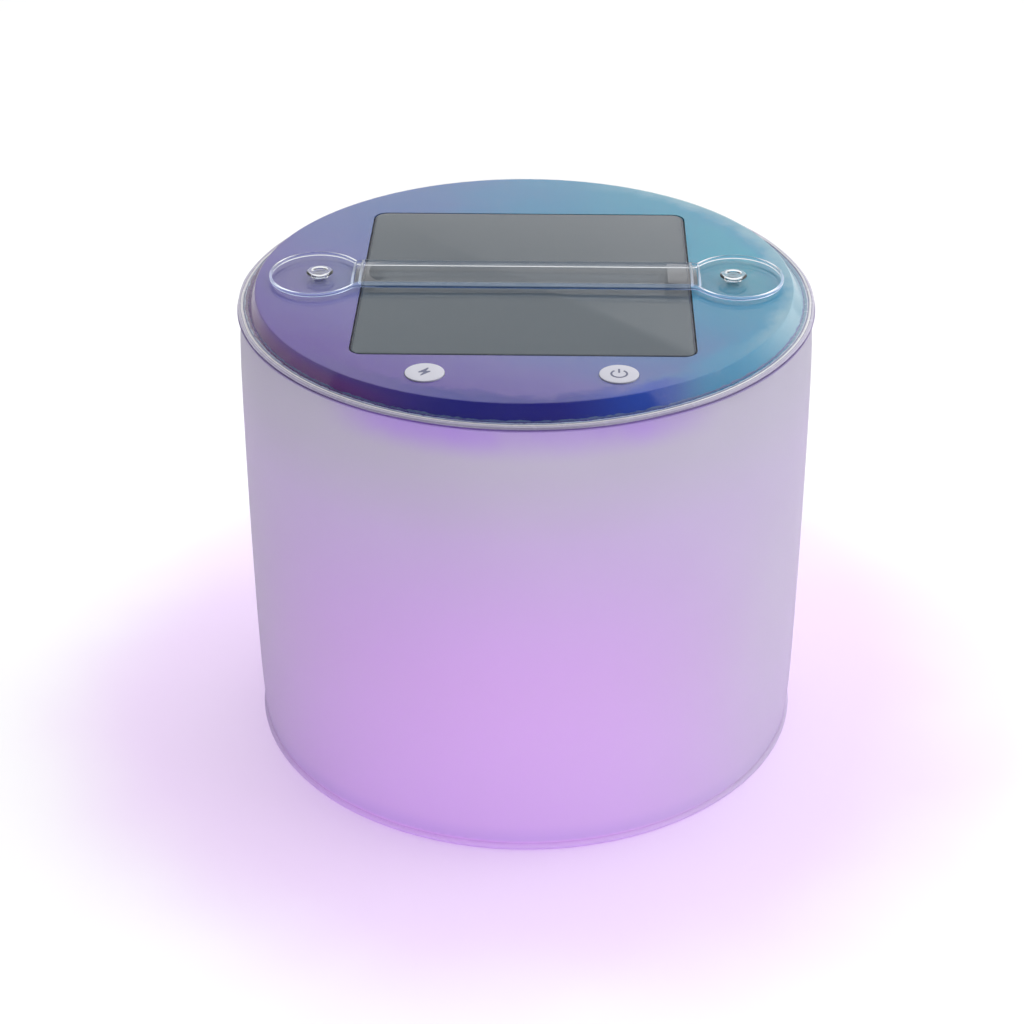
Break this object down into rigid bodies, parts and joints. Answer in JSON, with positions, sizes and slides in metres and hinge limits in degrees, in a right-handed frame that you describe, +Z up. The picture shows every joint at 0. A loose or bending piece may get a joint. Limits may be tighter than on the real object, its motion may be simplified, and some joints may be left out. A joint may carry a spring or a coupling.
{
  "type": "camping lantern",
  "caption": "Inflatable cylindrical solar lantern with a frosted film wall, a solar panel in its top, push buttons, a press-stud carrying strap and an air valve in its base.",
  "frame": {"origin": "centre of the base, on the ground that the lantern stands on", "axes": "+Z up through the lantern's middle; -Y is the front, the side with the buttons; the carrying strap runs along X, riveted at -X and snapped at +X"},
  "size_m": [0.1274, 0.1274, 0.1102],
  "materials": {
    "frosted_film": "frosted translucent lilac film, soft matt",
    "cover_film": "clear glossy film with soft ripples",
    "printed_deck": "print that runs from violet at the left to turquoise at the right",
    "solar_panel": "grey solar laminate with fine parallel lines",
    "button_face": null,
    "strap_vinyl": "clear glossy flexible vinyl with raised edges",
    "clear_stud": "clear moulded plastic",
    "clear_vinyl": "clear soft vinyl",
    "clear_plate": "milky clear plate",
    "white_plastic": "white moulded plastic",
    "circuit_board": "green solder mask",
    "led_package": "white package with a yellowish lens",
    "steel": "plated steel",
    "foil_pouch": "silver foil pouch",
    "black_plastic": "black moulded plastic",
    "black_foam": "dark foam and ferrite",
    "red_lead": "red wire insulation"
  },
  "bodies": {
    "base": {"side_wall": "frosted_film", "base_film": "frosted_film", "valve_flange": "clear_vinyl"},
    "light_pod": {"cover_film": "cover_film", "printed_deck": "printed_deck", "solar_panel": "solar_panel", "panel_tape": "black_foam", "panel_carrier": "white_plastic", "electronics_tray": "white_plastic", "led_diffuser": "clear_plate", "septum_film": "clear_vinyl", "main_board": "circuit_board", "battery_cell": "foil_pouch", "battery_pad": "black_foam", "battery_connector": "white_plastic", "battery_lead_positive": "red_lead", "panel_lead_positive": "red_lead", "battery_lead_negative": "black_plastic", "panel_lead_negative": "black_plastic", "microcontroller": "black_plastic", "charge_regulator": "black_plastic", "charge_inductor": "black_foam", "charge_check_switch": "black_plastic", "power_switch": "black_plastic", "strap_anchor_pad": "strap_vinyl", "anchor_rivet": "clear_stud", "anchor_post": "clear_stud", "snap_post": "clear_stud", "lamp_led_1": "led_package", "lamp_led_2": "led_package", "lamp_led_3": "led_package", "lamp_led_4": "led_package", "lamp_led_5": "led_package", "lamp_led_6": "led_package", "lamp_led_7": "led_package", "lamp_led_8": "led_package", "charge_level_led_1": "led_package", "charge_level_led_2": "led_package", "charge_level_led_3": "led_package", "board_screw_1": "steel", "board_screw_2": "steel", "board_screw_3": "steel", "board_screw_4": "steel"},
    "strap": {"strap_band": "strap_vinyl", "snap_cap": "clear_stud"},
    "charge_check_button": {"charge_check_button": "button_face", "charge_check_plunger": "steel"},
    "power_button": {"power_button": "button_face", "power_plunger": "steel"},
    "valve_stem": {"valve_stem": "clear_vinyl", "valve_flap": "clear_vinyl"},
    "valve_plug": {"valve_plug": "clear_vinyl"}
  },
  "joints": [
    {"name": "collapse", "type": "slide", "parent": "base", "child": "light_pod", "axis": [0, 0, 1], "range_m": [-0.083, 0], "deforming": ["side_wall"]},
    {"name": "strap_lift", "type": "hinge", "parent": "light_pod", "child": "strap", "pos_m": [-0.0376, 0, 0.11015], "axis": [0, -1, 0], "range_deg": [0, 150]},
    {"name": "charge_check_press", "type": "slide", "parent": "light_pod", "child": "charge_check_button", "axis": [0, 0, -1], "range_m": [0, 0.0005], "stiffness_N_per_m": 3000},
    {"name": "power_press", "type": "slide", "parent": "light_pod", "child": "power_button", "axis": [0, 0, -1], "range_m": [0, 0.0005], "stiffness_N_per_m": 3000},
    {"name": "valve_pull", "type": "slide", "parent": "base", "child": "valve_stem", "axis": [0, 0, -1], "range_m": [0, 0.006]},
    {"name": "plug_open", "type": "hinge", "parent": "valve_stem", "child": "valve_plug", "pos_m": [0, 0.0435, 0.0015], "axis": [1, 0, 0], "range_deg": [0, 105]}
  ]
}
